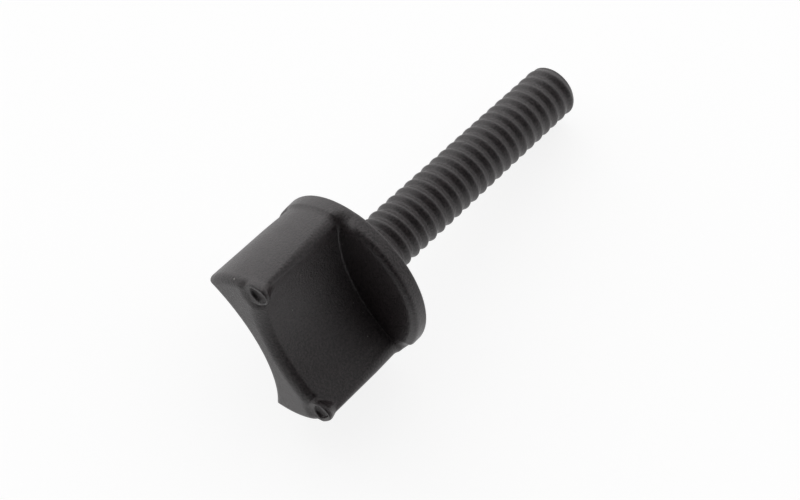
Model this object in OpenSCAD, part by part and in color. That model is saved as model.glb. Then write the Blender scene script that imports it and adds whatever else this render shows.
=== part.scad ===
// Wing bolt in moulded black plastic: a waisted two-lobed grip, a round flange and a
// number 10-24 shank, all one piece. It is drawn along its own axis with the flange's
// seating face at zero, the tip up and the grip down. It is then laid down as it comes
// to rest on a table: on the flange's rim and the tip of the shank, tip towards +X.

/* [Shank] */
// Diameter over the crests of the thread
thread_d = 4.826; // [3:0.001:6]
// Length from the flange's seating face to the tip
shank_len = 25.3; // [8:0.1:60]
// Loss of radius over the lead at the tip
lead_r = 0.35; // [0.1:0.05:0.6]
// Length of the lead at the tip
lead_len = 0.45; // [0.1:0.05:1]

/* [Flange] */
// Diameter of the flange
flange_d = 14.2; // [14.1:0.05:14.6]
// Thickness of the flange, from the seating face to the floor of the scoops
flange_t = 1.45; // [1.3:0.05:2.5]
// Width of the straight land on the rim, with the seat's rounding
land = 1.15; // [0.8:0.05:1.2]
// Rounding of the rim on the grip's side
rim_round = 0.3; // [0.1:0.05:0.4]
// Rounding of the rim on the seating side
seat_round = 0.2; // [0.05:0.05:0.3]

/* [Grip] */
// Diameter that the two lobes are turned to
grip_d = 13.7; // [13.4:0.05:13.8]
// Extra radius of the lobes where they reach the flange
grip_flare = 0.1; // [0:0.02:0.12]
// Height of the grip, from its flat end to the seating face
grip_h = 9.9; // [6:0.1:14]
// Thickness of the waist between the two scoops
waist_t = 2.4; // [1.8:0.05:3]
// Radius of each scoop, which runs straight along the axis
scoop_r = 9.8; // [8.5:0.1:11]
// Rounding of the four long ridges, where a lobe meets a scoop
ridge_r = 0.45; // [0.3:0.05:0.6]
// Rounding at the foot of each scoop, where it meets the flange
foot_round = 0.2; // [0.1:0.05:0.8]
// Rounding of the edges round the grip's flat end
end_round = 0.6; // [0.1:0.05:0.7]
// Radius that blends each lobe into the flange
neck_round = 1.2; // [0.8:0.05:1.4]

/* [Pin marks] */
// Diameter of the round mark at each of two corners of the flat end, on one side of the grip
mark_d = 1.44; // [0.8:0.04:1.6]
// Depth of the marks below their pads
mark_depth = 0.38; // [0.2:0.02:0.6]
// Diameter of the small pad that carries each mark
pad_d = 1.72; // [1.68:0.01:1.74]
// Length over which a pad sinks into the ridge
pad_len = 2.2; // [1.5:0.1:3]

/* [Rest] */
// Turn of the grip about the bolt's own axis, as it lies
roll = 141.6; // [0:0.1:180]

/* [Hidden] */
$fn = 96;
// Drop of the pads below the flat end
pad_drop = 0.22;
flange_r = flange_d / 2;
grip_r = grip_d / 2;
thread_r = thread_d / 2;
tip_r = thread_r - lead_r;
// Distance of a scoop's axis from the bolt's axis
scoop_y = scoop_r + waist_t / 2;
// Centre of a ridge's rounding, which touches the lobes' circle and the scoop's circle
ridge_a = grip_r - ridge_r;
ridge_b = scoop_r + ridge_r;
ridge_cy = (ridge_a * ridge_a - ridge_b * ridge_b + scoop_y * scoop_y) / (2 * scoop_y);
ridge_cx = sqrt(ridge_a * ridge_a - ridge_cy * ridge_cy);
// Height of the blend's curve from the lobes out to the rim
root_r = grip_r + grip_flare;
blend_w = root_r + neck_round - flange_r + rim_round;
blend_h = sqrt(pow(neck_round + rim_round, 2) - blend_w * blend_w);
// The lying bolt touches the table at the rim's land and at the shoulder of the lead,
// so its axis dips towards the tip
shoulder_z = shank_len - lead_len;
dip = atan((flange_r - thread_r) / (shoulder_z + seat_round));
axis_z = flange_r * cos(dip) - seat_round * sin(dip);
// Reach along X of the tip and of the grip's end, for the centring of the whole
tip_x = max(shank_len * cos(dip) + tip_r * sin(dip), shoulder_z * cos(dip) + thread_r * sin(dip));
head_x = -(grip_h * cos(dip) + (grip_r - end_round) * sin(dip));

// What a rounding of radius r takes off a square corner at the origin, whose sides run to -X and -Y
module corner_off(r) {
    difference() {
        translate([-r, -r]) square([r + 1, r + 1]);
        translate([-r, -r]) circle(r = r);
    }
}

// Half section of the turned head: flat end, lobes, blend, rim and seat
module head_section() {
    difference() {
        union() {
            translate([0, -grip_h]) square([grip_r, grip_h]);
            polygon([
                [0, -grip_h * 0.9], [grip_r, -grip_h * 0.9], [root_r, -grip_h * 0.4], [root_r, -land], [0, -land]
            ]);
            translate([0, -land]) square([flange_r, land]);
            difference() {
                polygon([
                    [grip_r - 1, -land - blend_h],
                    [root_r + neck_round, -land - blend_h],
                    [flange_r - rim_round, -land],
                    [grip_r - 1, -land]
                ]);
                translate([root_r + neck_round, -land - blend_h]) circle(r = neck_round);
            }
            translate([flange_r - rim_round, -land]) circle(r = rim_round);
        }
        translate([flange_r, 0]) corner_off(seat_round);
        translate([grip_r, -grip_h]) mirror([0, 1]) corner_off(end_round);
    }
}

// Half section of a scoop about its own axis: round foot, and flared at the flat end
module scoop_section() {
    difference() {
        union() {
            translate([0, -grip_h - 1]) square([scoop_r, grip_h - flange_t + 1]);
            difference() {
                translate([0, -grip_h - 1]) square([scoop_r + end_round, 1 + end_round]);
                translate([scoop_r + end_round, -grip_h + end_round]) circle(r = end_round);
            }
        }
        translate([scoop_r, -flange_t]) corner_off(foot_round);
    }
}

// Outline that rounds one ridge: the sharp corner outside a small circle
module ridge_off() {
    difference() {
        polygon([
            [ridge_cx, ridge_cy],
            [ridge_cx, ridge_cy] * grip_r / ridge_a,
            [ridge_cx * 1.3, ridge_cy * 1.3],
            [ridge_cx * 1.1, ridge_cy + 2.2],
            [ridge_cx * 0.9, ridge_cy + 1.2],
            [ridge_cx * (1 - ridge_r / ridge_b), ridge_cy + (scoop_y - ridge_cy) * ridge_r / ridge_b]
        ]);
        translate([ridge_cx, ridge_cy]) circle(r = ridge_r);
    }
}

// Grip and flange, before the pads
module waisted() {
    difference() {
        rotate_extrude() head_section();
        for (s = [-1, 1]) translate([0, s * scoop_y, 0]) rotate_extrude() scoop_section();
        for (mx = [0, 1], my = [0, 1])
            mirror([mx, 0, 0]) mirror([0, my, 0])
                translate([0, 0, -grip_h - 1]) linear_extrude(height = grip_h - flange_t + 1) ridge_off();
    }
}

// The pads stand a little below the flat end and taper into the ridges; the marks are sunk in them
module head() {
    difference() {
        union() {
            waisted();
            for (m = [-1, 1]) translate([m * (ridge_cx - 0.3), ridge_cy, -grip_h + pad_drop])
                cylinder(r1 = pad_d / 2, r2 = 0.2, h = pad_len);
        }
        for (m = [-1, 1]) translate([m * (ridge_cx - 0.3), ridge_cy, -grip_h - 1])
            cylinder(d = mark_d, h = 1 + pad_drop + mark_depth);
    }
}

// Plain shank at the thread's crests, with the lead at the tip
module shank() {
    rotate_extrude() polygon([
        [0, -0.5], [thread_r, -0.5], [thread_r, shoulder_z], [tip_r, shank_len], [0, shank_len]
    ]);
}

module wing_bolt() {
    color([0.09, 0.09, 0.095])
    translate([-(tip_x + head_x) / 2, 0, axis_z])
    rotate([0, 90 + dip, 0])
    rotate([0, 0, roll])
    union() {
        head();
        shank();
    }
}

wing_bolt();
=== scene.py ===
import math
import bpy, bmesh
import numpy as np
from mathutils import Matrix, Vector


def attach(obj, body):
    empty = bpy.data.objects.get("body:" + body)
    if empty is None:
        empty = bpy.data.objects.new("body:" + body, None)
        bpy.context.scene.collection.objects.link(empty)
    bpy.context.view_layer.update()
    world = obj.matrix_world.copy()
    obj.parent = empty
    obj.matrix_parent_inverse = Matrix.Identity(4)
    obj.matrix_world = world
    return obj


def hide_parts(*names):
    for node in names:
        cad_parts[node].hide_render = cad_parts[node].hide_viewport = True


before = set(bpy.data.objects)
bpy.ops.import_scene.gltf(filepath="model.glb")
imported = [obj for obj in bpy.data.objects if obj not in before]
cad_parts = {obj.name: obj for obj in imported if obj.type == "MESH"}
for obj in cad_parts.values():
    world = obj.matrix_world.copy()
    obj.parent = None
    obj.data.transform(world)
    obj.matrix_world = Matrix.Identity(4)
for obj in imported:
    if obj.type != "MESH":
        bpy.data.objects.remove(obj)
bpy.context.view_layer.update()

# ---------------------------------------------------------------- sizes, in mm, in the bolt's own frame
# x along the grip, y across it, z along the axis towards the tip; zero is the seating face
THREAD_R, SHANK_L, LEAD_R, LEAD_L = 2.413, 25.3, 0.35, 0.45
PITCH = 1.0583
FLANGE_R, FLANGE_T, LAND, RIM_R, SEAT_R = 7.1, 1.45, 1.17, 0.28, 0.20
GRIP_R, FLARE, GRIP_H, WAIST, SCOOP_R = 6.85, 0.10, 9.9, 2.4, 9.8
RIDGE_END, RIDGE_ROOT, RIM_EDGE, FOOT_R, NECK_R = 0.26, 1.25, 0.50, 0.10, 1.2
PAD_X, PAD_Y, PAD_R, PAD_TOP, PAD_LEN = 5.62, 2.62, 0.90, -9.40, 1.4
MARK_R, MARK_FLOOR, MARK_OUT = 0.74, -9.42, 6.60
END_R, CROWN_R, CROWN_IN = 0.72, 1.35, 1.15
THREAD_D0, THREAD_D1, THREAD_A = 0.27, 0.17, 0.25
ROLL = 141.6 - 180           # the grip is the same after half a turn
SCOOP_Y = SCOOP_R + WAIST / 2

# ---------------------------------------------------------------- where the bolt lies
shoulder = SHANK_L - LEAD_L
dip = math.atan((FLANGE_R - THREAD_R) / (shoulder + SEAT_R))
axis_z = FLANGE_R * math.cos(dip) - SEAT_R * math.sin(dip)
tip_r = THREAD_R - LEAD_R
tip_x = max(SHANK_L * math.cos(dip) + tip_r * math.sin(dip), shoulder * math.cos(dip) + THREAD_R * math.sin(dip))
head_x = -(GRIP_H * math.cos(dip) + (GRIP_R - 0.6) * math.sin(dip))
beta, gamma = math.pi / 2 + dip, math.radians(ROLL)
RY = np.array([[math.cos(beta), 0, math.sin(beta)], [0, 1, 0], [-math.sin(beta), 0, math.cos(beta)]])
RZ = np.array([[math.cos(gamma), -math.sin(gamma), 0], [math.sin(gamma), math.cos(gamma), 0], [0, 0, 1]])
LAY = RY @ RZ
ORIGIN = np.array([-(tip_x + head_x) / 2, 0, axis_z])


# ---------------------------------------------------------------- distance fields of the head
def arc(cx, cy, r, a0, a1, n=24):
    t = np.radians(np.linspace(a0, a1, n))
    return [(cx + r * c, cy + r * s) for c, s in zip(np.cos(t), np.sin(t))]


def turned_profile():
    grip = GRIP_R + FLARE
    bw = grip + NECK_R - FLANGE_R + RIM_R
    bh = math.sqrt((NECK_R + RIM_R) ** 2 - bw ** 2)
    ncx, ncy = grip + NECK_R, -LAND - bh
    rcx, rcy = FLANGE_R - RIM_R, -LAND
    ang = math.degrees(math.atan2(rcy - ncy, rcx - ncx))
    p = [(-3.0, -13.0), (GRIP_R, -13.0), (GRIP_R, -9.0), (GRIP_R + 0.4 * FLARE, -6.5), (grip, -4.0)]
    p += arc(ncx, ncy, NECK_R, 180, ang)
    p += arc(rcx, rcy, RIM_R, ang - 180, 0)
    p += arc(FLANGE_R - SEAT_R, -SEAT_R, SEAT_R, 0, 90)
    p += [(-3.0, 0.0)]
    return np.array(p)


class Table:
    """Signed distance to a closed outline, read back from a fine table."""

    def __init__(self, poly, x0, x1, y0, y1, h=0.02):
        self.x0, self.y0, self.h = x0, y0, h
        xs = np.arange(x0, x1 + h, h)
        ys = np.arange(y0, y1 + h, h)
        X, Y = np.meshgrid(xs, ys, indexing="ij")
        d2 = np.full(X.shape, 1e9)
        inside = np.zeros(X.shape, bool)
        n = len(poly)
        for i in range(n):
            ax, ay = poly[i]
            bx, by = poly[(i + 1) % n]
            ex, ey = bx - ax, by - ay
            t = np.clip(((X - ax) * ex + (Y - ay) * ey) / (ex * ex + ey * ey + 1e-18), 0, 1)
            d2 = np.minimum(d2, (X - ax - t * ex) ** 2 + (Y - ay - t * ey) ** 2)
            if ay != by:
                c = ((ay > Y) != (by > Y)) & (X < ex * (Y - ay) / ey + ax)
                inside ^= c
        self.t = np.where(inside, -1.0, 1.0) * np.sqrt(d2)

    def __call__(self, x, y):
        fx = (x - self.x0) / self.h
        fy = (y - self.y0) / self.h
        i = np.clip(np.floor(fx).astype(int), 0, self.t.shape[0] - 2)
        j = np.clip(np.floor(fy).astype(int), 0, self.t.shape[1] - 2)
        fx = fx - i
        fy = fy - j
        t = self.t
        return (t[i, j] * (1 - fx) + t[i + 1, j] * fx) * (1 - fy) + (t[i, j + 1] * (1 - fx) + t[i + 1, j + 1] * fx) * fy


turned = Table(turned_profile(), 0.0, 9.0, -12.6, 1.4)


def rmax(a, b, r):
    """Both at once, with the edge between them rounded to radius r."""
    return np.minimum(np.maximum(a, b), -r) + np.hypot(np.maximum(a + r, 0), np.maximum(b + r, 0))


def rmin(a, b, r):
    return -rmax(-a, -b, r)


def step(lo, hi, x):
    t = np.clip((x - lo) / (hi - lo), 0, 1)
    return t * t * (3 - 2 * t)


def head_field(x, y, z):
    """Signed distance to the head; the side with the two round marks is -y."""
    near = y < 0
    ax, ay = np.abs(x), np.abs(y)
    rho = np.hypot(x, y)
    outer = turned(rho, z)
    rs = np.hypot(x, ay - SCOOP_Y)
    # a scoop: a cylinder whose bottom edge is rounded
    foot = FOOT_R * (1 - 0.75 * step(-4.0, 0.0, np.where(near, x, -x)))
    qx, qz = rs - (SCOOP_R - foot), z - (-FLANGE_T - foot)
    cut = np.minimum(np.maximum(qx, qz), 0) + np.hypot(np.maximum(qx, 0), np.maximum(qz, 0)) - foot
    # a bead on each near ridge carries the round mark and sinks into the wall within a few millimetres
    k = np.clip((z - PAD_TOP) / PAD_LEN, 0, 1)
    dm = np.hypot(ax - PAD_X, y + PAD_Y)
    px = PAD_X + 0.12 * k
    py = PAD_Y - 0.05 * k
    bead = (np.hypot(ax - px, ay - py) - PAD_R * (1 - k) - 0.02) * 0.95
    bead = np.where(near & (k < 1), bead, 5.0)
    wall = rmin(-cut, bead, 0.02 + 0.25 * (1 - k))
    outer = np.where(near, outer - 0.13 * (1 - step(0.5, 1.7, dm)) * (1 - step(0, 0.5, k)), outer)
    # the ridges are nearly sharp at the free end and well rounded at the flange
    t = np.clip((z + GRIP_H) / (GRIP_H - FLANGE_T), 0, 1)
    ridge = RIDGE_END + (RIDGE_ROOT - RIDGE_END) * t ** 1.1
    body = rmax(outer, wall, RIM_EDGE + (ridge - RIM_EDGE) * step(-1.3, -0.2, qx))
    # the flat end: a small rounding, but along the near scoop a wide crown which meets the wall in an edge
    pad = 1 - step(0.90, 1.30, dm)
    w = step(0.6, -1.0, y) * (1 - step(5.0, 6.2, ax)) * (1 - pad)
    er = END_R + (CROWN_R - END_R) * w
    er = er + (0.14 - er) * pad
    end = -(z + GRIP_H) + 0.22 * (1 - step(0.80, 1.85, dm))
    crown = rmax(body - (CROWN_R - CROWN_IN) * w, end, er)
    body = rmax(body, crown, 0.06)
    mark = rmax(dm - MARK_R, z - MARK_FLOOR, 0.22)
    mark = rmax(mark, rho - MARK_OUT, 0.08)
    return rmax(body, -mark, 0.10)


# ---------------------------------------------------------------- surface nets on a grid of uneven steps
def surface_nets(xs, ys, zs, field):
    F = np.empty((len(xs), len(ys), len(zs)))
    for i, x in enumerate(xs):
        Y, Z = np.meshgrid(ys, zs, indexing="ij")
        F[i] = field(np.full(Y.shape, x), Y, Z)
    neg = F < 0
    nx, ny, nz = F.shape
    cells = (nx - 1, ny - 1, nz - 1)
    acc = np.zeros(cells + (3,))
    cnt = np.zeros(cells)
    quads = []
    cid = np.arange(np.prod(cells)).reshape(cells)
    G = (xs, ys, zs)
    for ax in range(3):
        sl0 = [slice(None)] * 3
        sl1 = [slice(None)] * 3
        sl0[ax], sl1[ax] = slice(0, -1), slice(1, None)
        a, b = F[tuple(sl0)], F[tuple(sl1)]
        I = np.argwhere((a < 0) != (b < 0))
        fa, fb = a[tuple(I.T)], b[tuple(I.T)]
        t = fa / (fa - fb)
        P = np.stack([G[k][I[:, k]] for k in range(3)], 1).astype(float)
        g = G[ax]
        P[:, ax] = g[I[:, ax]] + t * (g[I[:, ax] + 1] - g[I[:, ax]])
        o = [k for k in range(3) if k != ax]
        ring = []
        for d0, d1 in ((-1, -1), (0, -1), (0, 0), (-1, 0)):
            J = I.copy()
            J[:, o[0]] += d0
            J[:, o[1]] += d1
            np.add.at(acc, tuple(J.T), P)
            np.add.at(cnt, tuple(J.T), 1)
            ring.append(cid[tuple(J.T)])
        Q = np.stack(ring, 1)
        flip = (fa < 0) if ax != 1 else (fa >= 0)
        Q[~flip] = Q[~flip][:, ::-1]
        quads.append(Q)
    Q = np.concatenate(quads)
    used = cnt.reshape(-1) > 0
    V = acc.reshape(-1, 3)[used] / cnt.reshape(-1)[used][:, None]
    new = np.full(used.shape, -1)
    new[used] = np.arange(used.sum())
    return V, new[Q]


def gradient(field, V, e=2e-3):
    g = np.empty_like(V)
    for k in range(3):
        d = np.zeros(3)
        d[k] = e
        g[:, k] = (field(*(V + d).T) - field(*(V - d).T)) / (2 * e)
    return g


def relax(V, Q, field, rounds=4):
    n = len(V)
    E = np.concatenate([Q[:, [0, 1]], Q[:, [1, 2]], Q[:, [2, 3]], Q[:, [3, 0]]])
    E = np.unique(np.sort(E, 1), axis=0)
    deg = np.bincount(E.ravel(), minlength=n).astype(float)[:, None]
    for r in range(rounds):
        if r:
            S = np.zeros_like(V)
            np.add.at(S, E[:, 0], V[E[:, 1]])
            np.add.at(S, E[:, 1], V[E[:, 0]])
            L = S / deg - V
            g = gradient(field, V)
            g /= np.linalg.norm(g, axis=1, keepdims=True) + 1e-12
            V = V + 0.5 * (L - (L * g).sum(1, keepdims=True) * g)
        for _ in range(2):
            f = field(*V.T)
            g = gradient(field, V)
            s = f / np.maximum((g * g).sum(1), 0.25)
            V = V - np.clip(s, -0.05, 0.05)[:, None] * g
    return V


def spaced(stops):
    """Grid lines through (start, step), (start, step), ... up to the last start."""
    out = []
    for (a, h), (b, _) in zip(stops[:-1], stops[1:]):
        n = max(1, round((b - a) / h))
        out += list(a + (b - a) * np.arange(n) / n)
    return np.array(out + [stops[-1][0]])


def build_head():
    half = [(0.031, 0.18), (1.3, 0.17), (4.4, 0.082), (6.9, 0.08), (7.1, 0.1), (7.35, 0.1)]
    xs = spaced(half)
    xs = np.concatenate([-xs[::-1], xs])
    half = [(0.031, 0.15), (1.6, 0.082), (3.9, 0.16), (6.7, 0.11), (7.35, 0.1)]
    ys = spaced(half)
    ys = np.concatenate([-ys[::-1], ys])
    zs = spaced([(-10.1, 0.065), (-8.6, 0.18), (-2.4, 0.08), (0.25, 0.07)])
    V, Q = surface_nets(xs, ys, zs, head_field)
    return relax(V, Q, head_field), Q


# ---------------------------------------------------------------- the thread, as a closed grid
def thread_r(th, z):
    """Radius at angle th (from +x towards +y) and height z."""
    crest0 = 4.813 + PITCH * (th / (2 * math.pi) + 33.38 / 360)
    ph = (z - crest0) / PITCH
    ph = np.abs(ph - np.round(ph)) * 2          # 0 on a crest, 1 in a root
    crest = THREAD_R - 0.075 * np.clip(z / SHANK_L, 0, 1)
    # straight flanks, with the crest and the root rounded over THREAD_A of each
    deep = THREAD_D0 + (THREAD_D1 - THREAD_D0) * np.clip(z / SHANK_L, 0, 1) ** 0.8
    a = THREAD_A
    f = np.where(ph < a, ph ** 2 / (2 * a), np.where(ph > 1 - a, 1 - a - (1 - ph) ** 2 / (2 * a), ph - a / 2))
    return crest - deep * f / (1 - a)


def build_shank():
    nth = 112
    z0 = -0.7
    zs = np.concatenate([[z0], np.linspace(-0.35, SHANK_L - 0.6, 310), np.linspace(SHANK_L - 0.6, SHANK_L, 16)[1:]])
    th = np.linspace(0, 2 * math.pi, nth, endpoint=False)
    TH, Z = np.meshgrid(th, zs, indexing="ij")
    R = thread_r(TH, Z)
    # light lead at the tip
    lead = THREAD_R - LEAD_R * np.clip((Z - shoulder) / LEAD_L, 0, 1) ** 1.3
    R = np.minimum(R, lead)
    V = np.stack([R * np.cos(TH), R * np.sin(TH), Z], -1)
    nz = len(zs)
    V = V.reshape(-1, 3)
    idx = np.arange(nth * nz).reshape(nth, nz)
    a, b = idx, np.roll(idx, -1, 0)
    F = np.stack([a[:, :-1], b[:, :-1], b[:, 1:], a[:, 1:]], -1).reshape(-1, 4)
    faces = F.tolist()
    verts = V.tolist()
    # flat ends: rings towards the middle
    def cap(ring, z, flip):
        prev = list(ring)
        R0 = np.hypot(*V[ring][:, :2].T)
        for s in (0.9, 0.6, 0.3):
            cur = []
            for k, r in enumerate(R0):
                a = th[k]
                cur.append(len(verts))
                verts.append([r * s * math.cos(a), r * s * math.sin(a), z])
            for k in range(nth):
                q = [prev[k], prev[(k + 1) % nth], cur[(k + 1) % nth], cur[k]]
                faces.append(q[::-1] if flip else q)
            prev = cur
        c = len(verts)
        verts.append([0, 0, z])
        for k in range(nth):
            q = [prev[k], prev[(k + 1) % nth], c]
            faces.append(q[::-1] if flip else q)
    cap(idx[:, -1], SHANK_L, False)
    cap(idx[:, 0], z0, True)
    return verts, faces


def to_world(V):
    return (np.asarray(V) @ LAY.T + ORIGIN) * 0.001


def make_mesh(name, V, F):
    me = bpy.data.meshes.new(name)
    me.from_pydata([tuple(v) for v in V], [], [tuple(f) for f in F])
    me.validate()
    return me


HV, HQ = build_head()
SV, SF = build_shank()
head = bpy.data.objects.new("head_tmp", make_mesh("head_tmp", HV, HQ.tolist()))
shank = bpy.data.objects.new("shank_tmp", make_mesh("shank_tmp", SV, SF))
for o in (head, shank):
    bpy.context.scene.collection.objects.link(o)
    bm = bmesh.new()
    bm.from_mesh(o.data)
    bmesh.ops.recalc_face_normals(bm, faces=bm.faces)
    bm.to_mesh(o.data)
    bm.free()
mod = head.modifiers.new("u", "BOOLEAN")
mod.operation, mod.solver, mod.object = "UNION", "MANIFOLD", shank
dg = bpy.context.evaluated_depsgraph_get()
dg.update()
body = bpy.data.meshes.new_from_object(head.evaluated_get(dg))
bpy.data.objects.remove(head)
bpy.data.objects.remove(shank)
co = np.empty(len(body.vertices) * 3)
body.vertices.foreach_get("co", co)
body.vertices.foreach_set("co", to_world(co.reshape(-1, 3)).ravel())
body.name = "wing_bolt_body"
bolt = bpy.data.objects.new("wing_bolt_body", body)
bpy.context.scene.collection.objects.link(bolt)
bm = bmesh.new()
bm.from_mesh(body)
bmesh.ops.remove_doubles(bm, verts=bm.verts, dist=1e-8)
bad = [e for e in bm.edges if len(e.link_faces) != 2]
print("EDGES", len(bm.edges), "open or doubled", len(bad), "faces", len(bm.faces), "tris", sum(len(f.verts) - 2 for f in bm.faces))
bm.to_mesh(body)
bm.free()
for p in body.polygons:
    p.use_smooth = True


# ---------------------------------------------------------------- black moulded plastic
def plastic():
    m = bpy.data.materials.new("black_plastic")
    m.use_nodes = True
    nt = m.node_tree
    nt.nodes.clear()
    N, L = nt.nodes.new, nt.links.new
    out = N("ShaderNodeOutputMaterial")
    bs = N("ShaderNodeBsdfPrincipled")
    L(bs.outputs[0], out.inputs[0])
    bs.inputs["IOR"].default_value = 1.5
    tc = N("ShaderNodeTexCoord")

    def noise(scale, detail, rough=0.5):
        n = N("ShaderNodeTexNoise")
        n.inputs["Scale"].default_value = scale
        n.inputs["Detail"].default_value = detail
        n.inputs["Roughness"].default_value = rough
        L(tc.outputs["Object"], n.inputs["Vector"])
        return n.outputs["Fac"]

    def ranged(v, a, b, c, d):
        r = N("ShaderNodeMapRange")
        for k, x in zip(("From Min", "From Max", "To Min", "To Max"), (a, b, c, d)):
            r.inputs[k].default_value = x
        L(v, r.inputs["Value"])
        return r.outputs[0]

    def math2(op, a, b):
        n = N("ShaderNodeMath")
        n.operation = op
        for k, v in enumerate((a, b)):
            if isinstance(v, (int, float)):
                n.inputs[k].default_value = v
            else:
                L(v, n.inputs[k])
        return n.outputs[0]

    grain = noise(5600, 3.0, 0.7)          # moulding texture, about a fifth of a millimetre
    cloud = noise(420, 3.0)                # slow change of sheen over the surface
    rough = math2("ADD", ranged(grain, 0.3, 0.7, -0.07, 0.07), ranged(cloud, 0.3, 0.7, 0.35, 0.41))
    # a few specks of dust, small and pale
    specks = None
    for x, y, z, r in SPECKS:
        p = to_world([[x, y, z]])[0]
        d = N("ShaderNodeVectorMath")
        d.operation = "DISTANCE"
        d.inputs[1].default_value = tuple(p)
        L(tc.outputs["Object"], d.inputs[0])
        v = ranged(d.outputs["Value"], r * 0.0006, r * 0.001, 1.0, 0.0)
        specks = v if specks is None else math2("MAXIMUM", specks, v)
    mix = N("ShaderNodeMix")
    mix.data_type = "RGBA"
    tint = N("ShaderNodeMix")
    tint.data_type = "RGBA"
    tint.inputs["A"].default_value = (0.0120, 0.0095, 0.0101, 1)
    tint.inputs["B"].default_value = (0.0460, 0.0362, 0.0384, 1)
    L(ranged(grain, 0.36, 0.64, 0, 1), tint.inputs["Factor"])
    L(tint.outputs["Result"], mix.inputs["A"])
    mix.inputs["B"].default_value = (0.30, 0.29, 0.27, 1)
    L(specks, mix.inputs["Factor"])
    L(mix.outputs["Result"], bs.inputs["Base Color"])
    L(math2("ADD", rough, ranged(specks, 0, 1, 0, 0.4)), bs.inputs["Roughness"])
    bump = N("ShaderNodeBump")
    bump.inputs["Strength"].default_value = 1.0
    bump.inputs["Distance"].default_value = 0.00005
    L(grain, bump.inputs["Height"])
    L(bump.outputs[0], bs.inputs["Normal"])
    return m


# x, y, z and radius in mm, on the surface
SPECKS = [(-6.68, -0.48, -9.62, 0.08), (-4.24, -2.16, -5.64, 0.045), (-5.70, -3.03, -1.51, 0.04), (-3.96, -2.34, -1.45, 0.045),
          (0.90, -1.64, -1.45, 0.045), (2.32, -1.48, -1.97, 0.035), (3.86, -1.99, -2.83, 0.04), (-2.04, -1.41, -7.16, 0.04),
          (1.17, -1.27, -1.66, 0.03), (1.21, -1.28, -2.22, 0.03)]


body.materials.clear()
body.materials.append(plastic())
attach(bolt, "root")
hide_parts("wing_bolt")

# ---------------------------------------------------------------- camera
AX = np.array([0.64481, -0.59710, 0.47716])
W1 = np.array([0.37474, 0.79107, 0.48352])
W2 = np.array([-0.66617, -0.13297, 0.73385])
T0 = np.array([-3.4245 + 0.038, 1.487 + 0.038, 116.178])
RCW = LAY @ np.stack([W1, W2, AX])
u_, s_, vt_ = np.linalg.svd(RCW)
RCW = u_ @ vt_
cam_pos = (ORIGIN - RCW @ T0) * 0.001
M = np.eye(4)
M[:3, 0] = RCW @ np.array([1, 0, 0])
M[:3, 1] = RCW @ np.array([0, -1, 0])
M[:3, 2] = RCW @ np.array([0, 0, -1])
M[:3, 3] = cam_pos
cd = bpy.data.cameras.new("camera")
cd.sensor_width = 36
cd.sensor_fit = "HORIZONTAL"
cd.lens = 1521.8 / 800 * 36
cd.clip_start = 0.005
cd.clip_end = 20
cam = bpy.data.objects.new("camera", cd)
cam.matrix_world = Matrix(M.tolist())
bpy.context.scene.collection.objects.link(cam)
bpy.context.scene.camera = cam


def world_dir(v):
    v = RCW @ np.asarray(v, float)
    return v / np.linalg.norm(v)


# ---------------------------------------------------------------- floor and light
def flat(name, size, z):
    me = bpy.data.meshes.new(name)
    s = size / 2
    me.from_pydata([(-s, -s, z), (s, -s, z), (s, s, z), (-s, s, z)], [], [(0, 1, 2, 3)])
    o = bpy.data.objects.new(name, me)
    bpy.context.scene.collection.objects.link(o)
    return o


floor = flat("floor", 6.0, 0.0)
fm = bpy.data.materials.new("floor_painted_glow")
fm.use_nodes = True
fb = fm.node_tree.nodes["Principled BSDF"]
fb.inputs["Base Color"].default_value = (0.28, 0.28, 0.28, 1)
fb.inputs["Roughness"].default_value = 0.9
fb.inputs["Specular IOR Level"].default_value = 0.1
fb.inputs["Emission Color"].default_value = (1, 1, 1, 1)
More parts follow.
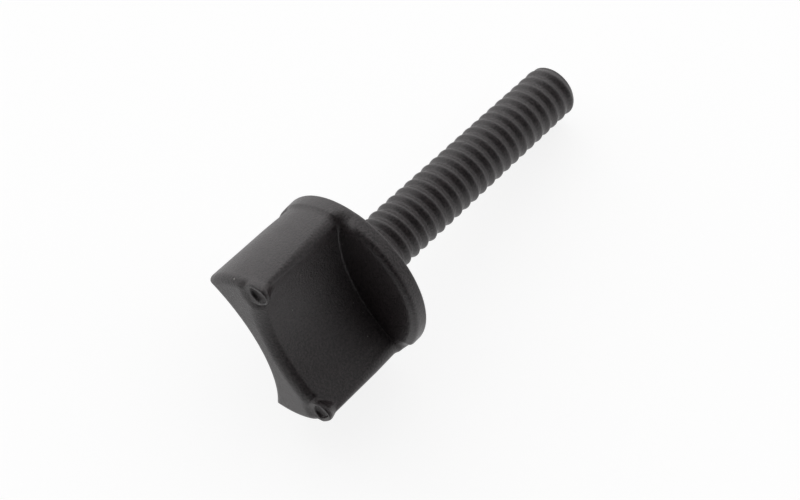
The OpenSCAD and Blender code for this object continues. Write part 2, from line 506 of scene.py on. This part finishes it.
# painted light: the floor glows by emission around the part, which hides its contact shadow, and the glow falls away in
# front of the view as painted shade
N, L = fm.node_tree.nodes.new, fm.node_tree.links.new
front = RCW @ np.array([0, 1, 0])
front[2] = 0
front /= np.linalg.norm(front)
ftc = N("ShaderNodeTexCoord")
fd = N("ShaderNodeVectorMath")
fd.operation = "DOT_PRODUCT"
fd.inputs[1].default_value = tuple(front)
L(ftc.outputs["Object"], fd.inputs[0])
fr = N("ShaderNodeMapRange")
fr.interpolation_type = "SMOOTHSTEP"
for k, v in zip(("From Min", "From Max", "To Min", "To Max"), (0.036, 0.075, 0.83, 0.10)):
    fr.inputs[k].default_value = v
L(fd.outputs["Value"], fr.inputs["Value"])
# the emission strength is the floor's painted light and painted shade
L(fr.outputs[0], fb.inputs["Emission Strength"])
floor.data.materials.append(fm)

w = bpy.data.worlds.new("studio")
bpy.context.scene.world = w
w.use_nodes = True
nt = w.node_tree
nt.nodes.clear()
N, L = nt.nodes.new, nt.links.new
wo = N("ShaderNodeOutputWorld")
bg = N("ShaderNodeBackground")
L(bg.outputs[0], wo.inputs[0])
tc = N("ShaderNodeTexCoord")


def lobe(direction, lo, hi):
    """0 away from the direction, 1 around it, between cosines lo and hi."""
    d = N("ShaderNodeVectorMath")
    d.operation = "DOT_PRODUCT"
    d.inputs[1].default_value = tuple(direction)
    L(tc.outputs["Generated"], d.inputs[0])
    r = N("ShaderNodeMapRange")
    r.interpolation_type = "SMOOTHSTEP"
    r.inputs["From Min"].default_value = lo
    r.inputs["From Max"].default_value = hi
    L(d.outputs["Value"], r.inputs["Value"])
    return r.outputs[0]


def times(a, b):
    m = N("ShaderNodeMath")
    m.operation = "MULTIPLY"
    for k, v in enumerate((a, b)):
        if isinstance(v, (int, float)):
            m.inputs[k].default_value = v
        else:
            L(v, m.inputs[k])
    return m.outputs[0]


def fade(mask, lo):
    """1 away from the mask, lo inside it."""
    r = N("ShaderNodeMapRange")
    r.inputs["To Min"].default_value = 1.0
    r.inputs["To Max"].default_value = lo
    L(mask, r.inputs["Value"])
    return r.outputs[0]


dark = fade(lobe(world_dir((-0.15, 0.40, -0.90)), -0.05, 0.86), 0.04)
side = fade(lobe(world_dir((0.80, 0.45, -0.40)), 0.45, 0.98), 0.80)
right = fade(lobe(world_dir((0.95, -0.15, -0.30)), 0.50, 1.0), 0.66)
top = fade(lobe(world_dir((-0.35, -0.85, 0.40)), 0.40, 0.95), 1.32)
over = fade(lobe(world_dir((0.15, -0.85, -0.50)), 0.74, 1.0), 0.70)
L(times(times(times(dark, side), times(right, top)), times(over, 1.4)), bg.inputs["Strength"])
bg.inputs["Color"].default_value = (1, 1, 1, 1)

sc = bpy.context.scene
sc.view_settings.view_transform = "Standard"
sc.view_settings.look = "None"
sc.view_settings.exposure = 0.0
